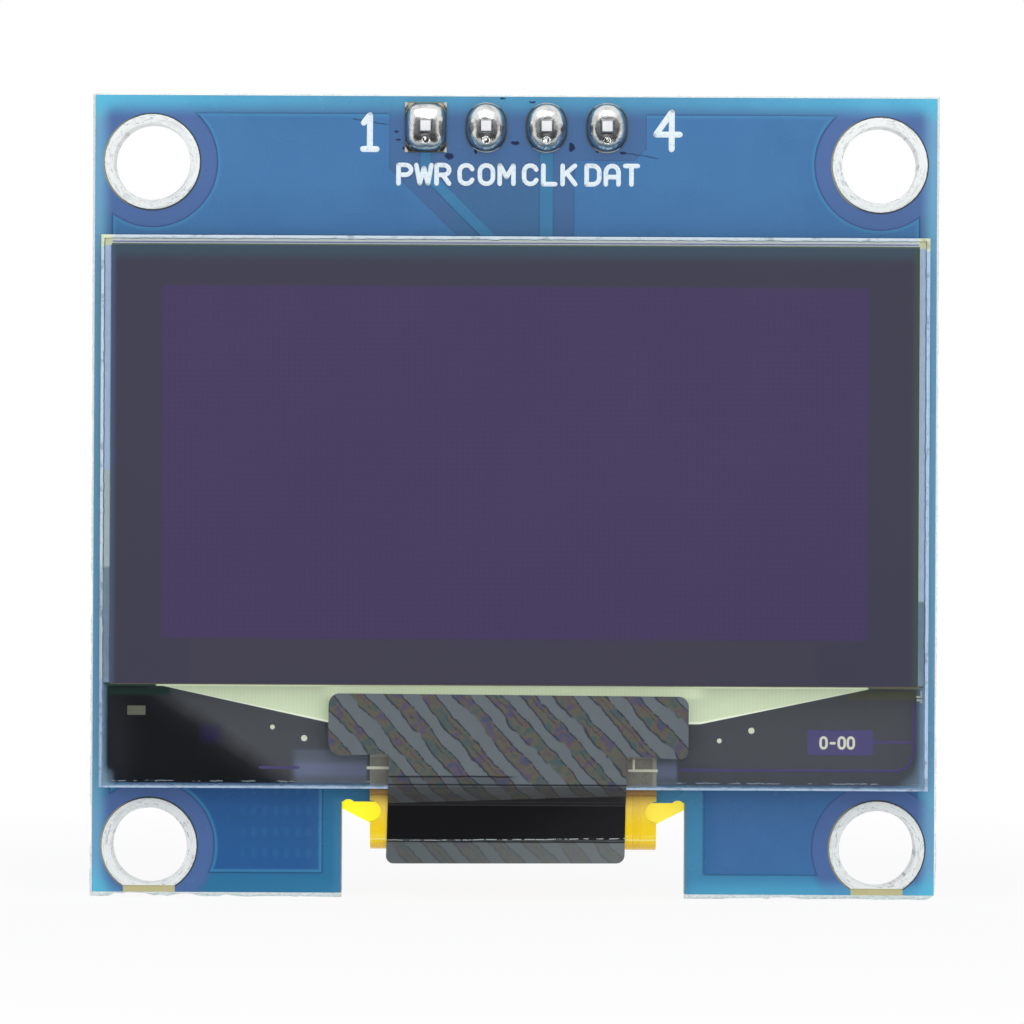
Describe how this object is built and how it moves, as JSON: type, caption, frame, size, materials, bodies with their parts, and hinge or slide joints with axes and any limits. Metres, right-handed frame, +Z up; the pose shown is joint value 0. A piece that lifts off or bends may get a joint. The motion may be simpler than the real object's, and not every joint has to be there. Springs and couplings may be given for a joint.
{
  "type": "graphic display module",
  "caption": "Small glass graphic display panel on a blue circuit board, with a folded flexible circuit, corner mounting holes and a rear pin header.",
  "frame": {"origin": "centre of the four mounting holes, on the circuit board's rear face", "axes": "+X to the right as seen from the display side, +Z up towards the pin header, +Y backwards; the display faces -Y"},
  "size_m": [0.0356, 0.0116, 0.0338],
  "materials": {
    "solder_mask": "glossy blue mask over glass-fibre laminate",
    "tinned_copper": "tinned",
    "solder": "bright solder",
    "pin_plating": "plated",
    "black_plastic": "moulded",
    "adhesive_foam": "matt",
    "cap_glass": "cut glass",
    "panel_glass": "polished glass with cut edges",
    "polarising_film": "smooth dark film",
    "desiccant": "matt",
    "seal_resin": "cured resin",
    "emitting_film": "thin film",
    "electrode_metal": "thin film",
    "silicon": "polished",
    "sealing_coat": "cured coat",
    "polyimide": "amber film",
    "bond_resin": "cured resin",
    "shielding_tape": "satin, with diagonal bands",
    "capacitor_ceramic": "fired ceramic",
    "resistor_body": "glazed"
  },
  "bodies": {
    "root": {"circuit_board": "solder_mask", "front_copper": "solder_mask", "rear_copper": "solder_mask", "mounting_rings": "tinned_copper", "header_pads": "tinned_copper", "flex_pads": "tinned_copper", "component_pads": "tinned_copper", "header_body": "black_plastic", "header_pin_1": "pin_plating", "header_pin_2": "pin_plating", "header_pin_3": "pin_plating", "header_pin_4": "pin_plating", "header_solder_1": "solder", "header_solder_2": "solder", "header_solder_3": "solder", "header_solder_4": "solder", "foam_tape": "adhesive_foam", "cap_glass": "cap_glass", "desiccant_sheet": "desiccant", "edge_seal": "seal_resin", "emitting_layer": "emitting_film", "display_glass": "panel_glass", "polariser": "polarising_film", "electrode_fanout": "electrode_metal", "driver_chip": "silicon", "ledge_coating": "sealing_coat", "flex_circuit": "polyimide", "flex_solder": "solder", "bond_resin": "bond_resin", "shield_tape": "shielding_tape", "regulator_body": "black_plastic", "regulator_leads": "solder", "diode_body": "black_plastic", "diode_leads": "solder", "capacitor_1": "capacitor_ceramic", "capacitor_2": "capacitor_ceramic", "capacitor_3": "capacitor_ceramic", "capacitor_4": "capacitor_ceramic", "capacitor_5": "capacitor_ceramic", "capacitor_6": "capacitor_ceramic", "capacitor_7": "capacitor_ceramic", "capacitor_8": "capacitor_ceramic", "resistor_1": "resistor_body", "resistor_2": "resistor_body", "resistor_3": "resistor_body", "resistor_4": "resistor_body", "resistor_5": "resistor_body", "resistor_6": "resistor_body", "resistor_7": "resistor_body", "chip_terminals": "solder", "component_solder": "solder"}
  },
  "joints": []
}
